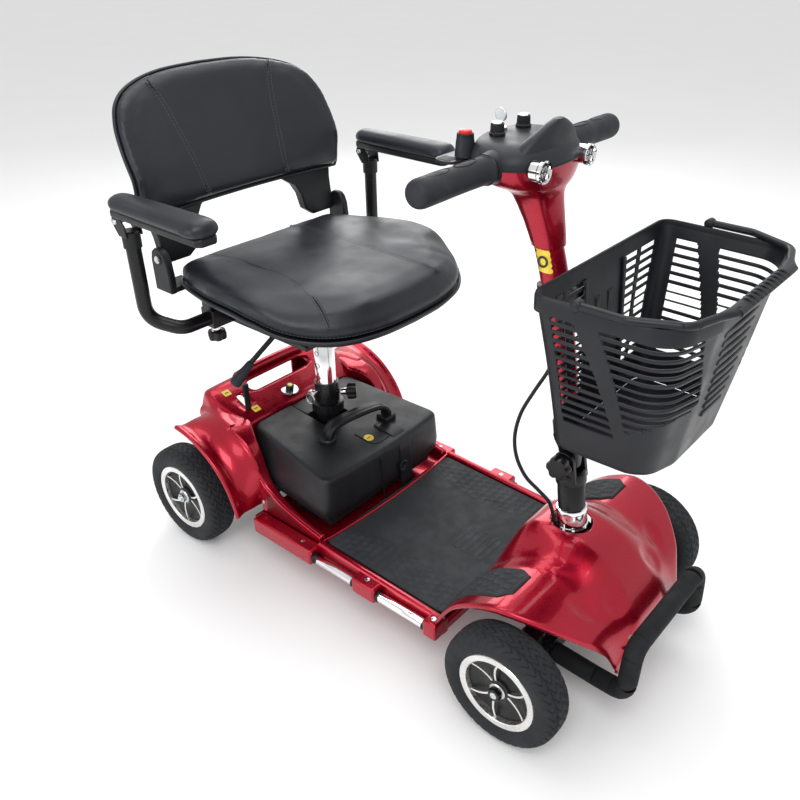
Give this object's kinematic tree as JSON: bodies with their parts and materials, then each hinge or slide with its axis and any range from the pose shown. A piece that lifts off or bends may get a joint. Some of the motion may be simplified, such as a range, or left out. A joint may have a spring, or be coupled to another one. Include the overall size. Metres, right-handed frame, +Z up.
{
  "type": "mobility scooter",
  "caption": "Small travel mobility scooter: tilting tiller with front basket, flat deck, battery box, swivel seat with fold-down back and lift-up armrests, rear drive and anti-tip wheels.",
  "frame": {"origin": "centre of the whole scooter's bounding box, on the ground", "axes": "+Z up, -Y forwards (the way it drives), so +Y is the rear; -X is the rider's right"},
  "size_m": [0.599, 1.0384, 0.8527],
  "materials": {
    "red_body": "metallic gloss paint over moulded plastic",
    "black_plastic": "fine-textured",
    "grey_plastic": "satin",
    "black_steel": "black powder coat",
    "red_steel": "red gloss powder coat",
    "chrome": "polished",
    "zinc": "zinc plated",
    "rim_alloy": "machined face",
    "tyre_rubber": "solid grey-black tyre",
    "mat_rubber": "patterned sheet",
    "foam": "closed-cell sleeve",
    "leather": "black stitched upholstery",
    "red_button": "gloss"
  },
  "bodies": {
    "chassis": {"main_frame": "black_steel", "floor_pan": "red_body", "floor_mat": "mat_rubber", "front_cowl": "red_body", "front_bumper": "foam", "side_tube_right": "chrome", "side_tube_left": "chrome", "rear_cover": "red_body", "controller": "zinc", "transaxle_motor": "black_steel", "post_tube": "black_steel"},
    "battery_box": {"battery_case": "black_plastic", "battery_pack": "black_plastic"},
    "tie_rod": {"tie_rod": "zinc"},
    "steering": {"steering_stem": "black_steel", "control_cable": "black_plastic"},
    "tiller": {"tiller_column": "red_steel", "head_lower_shell": "red_body", "head_upper_shell": "grey_plastic", "grip_right": "grey_plastic", "grip_left": "grey_plastic", "headlight_right": "chrome", "headlight_left": "chrome", "basket_bracket": "black_plastic"},
    "tilt_knob": {"tilt_knob": "black_plastic"},
    "speed_knob": {"speed_knob": "black_plastic"},
    "light_knob": {"light_knob": "black_plastic"},
    "key": {"ignition_key": "zinc"},
    "horn_button": {"horn_button": "red_button"},
    "throttle": {"throttle_paddle": "black_plastic"},
    "basket": {"basket": "black_plastic"},
    "bail": {"basket_bail": "black_plastic"},
    "seat_post": {"seat_post": "chrome"},
    "seat": {"seat_frame": "black_steel", "seat_shell": "black_plastic", "seat_cushion": "leather"},
    "seat_back": {"back_shell": "black_plastic", "back_pad": "leather"},
    "swivel_lever": {"swivel_lever": "black_steel"},
    "post_knob": {"post_knob": "black_plastic"},
    "height_pin": {"height_pin": "zinc"},
    "freewheel_lever": {"freewheel_lever": "zinc"},
    "knuckle_right": {"knuckle_right": "zinc"},
    "front_wheel_right": {"front_tyre_right": "tyre_rubber", "front_rim_right": "rim_alloy"},
    "rear_wheel_right": {"rear_tyre_right": "tyre_rubber", "rear_rim_right": "rim_alloy"},
    "anti_tip_wheel_right": {"anti_tip_wheel_right": "grey_plastic"},
    "arm_right": {"arm_tube_right": "black_steel"},
    "arm_pad_right": {"arm_pad_right": "leather"},
    "arm_knob_right": {"arm_knob_right": "black_plastic"},
    "knuckle_left": {"knuckle_left": "zinc"},
    "front_wheel_left": {"front_tyre_left": "tyre_rubber", "front_rim_left": "rim_alloy"},
    "rear_wheel_left": {"rear_tyre_left": "tyre_rubber", "rear_rim_left": "rim_alloy"},
    "anti_tip_wheel_left": {"anti_tip_wheel_left": "grey_plastic"},
    "arm_left": {"arm_tube_left": "black_steel"},
    "arm_pad_left": {"arm_pad_left": "leather"},
    "arm_knob_left": {"arm_knob_left": "black_plastic"}
  },
  "joints": [
    {"name": "steer", "type": "hinge", "parent": "chassis", "child": "steering", "pos_m": [0, -0.28768, 0.365], "axis": [0, 0.117, 0.9931], "range_deg": [-35, 35]},
    {"name": "tiller_tilt", "type": "hinge", "parent": "steering", "child": "tiller", "pos_m": [0, -0.28768, 0.365], "axis": [1, 0, 0], "range_deg": [-12, 8], "deforming": ["control_cable"]},
    {"name": "tilt_knob_turn", "type": "hinge", "parent": "tiller", "child": "tilt_knob", "pos_m": [0, -0.28768, 0.365], "axis": [-1, 0, 0], "range_deg": [0, 720]},
    {"name": "knuckle_turn_right", "type": "hinge", "parent": "chassis", "child": "knuckle_right", "pos_m": [-0.165, -0.33388, 0.1], "axis": [0, 0, 1], "range_deg": [-35, 35]},
    {"name": "front_wheel_spin_right", "type": "hinge", "parent": "knuckle_right", "child": "front_wheel_right", "pos_m": [-0.2175, -0.33388, 0.1], "axis": [1, 0, 0], "continuous": true},
    {"name": "rear_wheel_spin_right", "type": "hinge", "parent": "chassis", "child": "rear_wheel_right", "pos_m": [-0.2175, 0.40432, 0.1], "axis": [1, 0, 0], "continuous": true},
    {"name": "anti_tip_spin_right", "type": "hinge", "parent": "chassis", "child": "anti_tip_wheel_right", "pos_m": [-0.064, 0.49062, 0.052], "axis": [1, 0, 0], "continuous": true},
    {"name": "knuckle_turn_left", "type": "hinge", "parent": "chassis", "child": "knuckle_left", "pos_m": [0.165, -0.33388, 0.1], "axis": [0, 0, 1], "range_deg": [-35, 35]},
    {"name": "front_wheel_spin_left", "type": "hinge", "parent": "knuckle_left", "child": "front_wheel_left", "pos_m": [0.2175, -0.33388, 0.1], "axis": [1, 0, 0], "continuous": true},
    {"name": "rear_wheel_spin_left", "type": "hinge", "parent": "chassis", "child": "rear_wheel_left", "pos_m": [0.2175, 0.40432, 0.1], "axis": [1, 0, 0], "continuous": true},
    {"name": "anti_tip_spin_left", "type": "hinge", "parent": "chassis", "child": "anti_tip_wheel_left", "pos_m": [0.064, 0.49062, 0.052], "axis": [1, 0, 0], "continuous": true},
    {"name": "tie_rod_swing", "type": "hinge", "parent": "knuckle_right", "child": "tie_rod", "pos_m": [-0.165, -0.27388, 0.049], "axis": [0, 0, 1], "range_deg": [-35, 35]},
    {"name": "speed_knob_turn", "type": "hinge", "parent": "tiller", "child": "speed_knob", "pos_m": [-0.03, -0.15138, 0.826], "axis": [0, 0, 1], "range_deg": [-135, 135]},
    {"name": "light_knob_turn", "type": "hinge", "parent": "tiller", "child": "light_knob", "pos_m": [0.03, -0.15138, 0.826], "axis": [0, 0, 1], "range_deg": [-90, 0]},
    {"name": "key_turn", "type": "hinge", "parent": "tiller", "child": "key", "pos_m": [0, -0.13538, 0.826], "axis": [0, 0, 1], "range_deg": [-60, 0]},
    {"name": "horn_press", "type": "slide", "parent": "tiller", "child": "horn_button", "axis": [0, 0, -1], "range_m": [0, 0.003], "stiffness_N_per_m": 200},
    {"name": "throttle_swing", "type": "hinge", "parent": "tiller", "child": "throttle", "pos_m": [0, -0.13338, 0.797], "axis": [0, 0, 1], "range_deg": [-12, 12], "stiffness_Nm_per_rad": 0.5},
    {"name": "basket_lift", "type": "slide", "parent": "tiller", "child": "basket", "axis": [0, 0, 1], "range_m": [0, 0.1]},
    {"name": "bail_swing", "type": "hinge", "parent": "basket", "child": "bail", "pos_m": [0, -0.37138, 0.7], "axis": [-1, 0, 0], "range_deg": [0, 90]},
    {"name": "seat_height", "type": "slide", "parent": "chassis", "child": "seat_post", "axis": [0, 0, 1], "range_m": [-0.015, 0.04]},
    {"name": "seat_swivel", "type": "hinge", "parent": "seat_post", "child": "seat", "pos_m": [0, 0.23862, 0.44], "axis": [0, 0, 1], "range_deg": [-90, 90]},
    {"name": "back_fold", "type": "hinge", "parent": "seat", "child": "seat_back", "pos_m": [0, 0.39062, 0.577], "axis": [1, 0, 0], "range_deg": [0, 75]},
    {"name": "swivel_lever_lift", "type": "hinge", "parent": "seat", "child": "swivel_lever", "pos_m": [-0.083, 0.25762, 0.442], "axis": [0, 1, 0], "range_deg": [0, 10], "stiffness_Nm_per_rad": 2},
    {"name": "arm_width_right", "type": "slide", "parent": "seat", "child": "arm_right", "axis": [1, 0, 0], "range_m": [-0.04, 0]},
    {"name": "arm_pad_lift_right", "type": "hinge", "parent": "arm_right", "child": "arm_pad_right", "pos_m": [-0.2695, 0.37262, 0.664], "axis": [-1, 0, 0], "range_deg": [0, 90]},
    {"name": "arm_knob_turn_right", "type": "hinge", "parent": "seat", "child": "arm_knob_right", "pos_m": [-0.165, 0.32362, 0.4628], "axis": [0, 0, 1], "range_deg": [0, 720]},
    {"name": "arm_width_left", "type": "slide", "parent": "seat", "child": "arm_left", "axis": [-1, 0, 0], "range_m": [-0.04, 0]},
    {"name": "arm_pad_lift_left", "type": "hinge", "parent": "arm_left", "child": "arm_pad_left", "pos_m": [0.2695, 0.37262, 0.664], "axis": [-1, 0, 0], "range_deg": [0, 90]},
    {"name": "arm_knob_turn_left", "type": "hinge", "parent": "seat", "child": "arm_knob_left", "pos_m": [0.165, 0.32362, 0.4628], "axis": [0, 0, 1], "range_deg": [0, 720]},
    {"name": "post_knob_turn", "type": "hinge", "parent": "chassis", "child": "post_knob", "pos_m": [0.02, 0.21462, 0.288], "axis": [0.7021, -0.7121, 0], "range_deg": [0, 720]},
    {"name": "height_pin_pull", "type": "slide", "parent": "chassis", "child": "height_pin", "axis": [-1, 0, 0], "range_m": [0, 0.03]},
    {"name": "freewheel_swing", "type": "hinge", "parent": "chassis", "child": "freewheel_lever", "pos_m": [-0.104, 0.35862, 0.258], "axis": [1, 0, 0], "range_deg": [0, 8]},
    {"name": "battery_lift", "type": "slide", "parent": "chassis", "child": "battery_box", "axis": [0, 0, 1], "range_m": [0, 0.025]}
  ],
  "couplings": [
    {"joint": "knuckle_turn_right", "follows": "steer", "ratio": 1},
    {"joint": "knuckle_turn_left", "follows": "steer", "ratio": 1},
    {"joint": "tie_rod_swing", "follows": "steer", "ratio": -1}
  ]
}
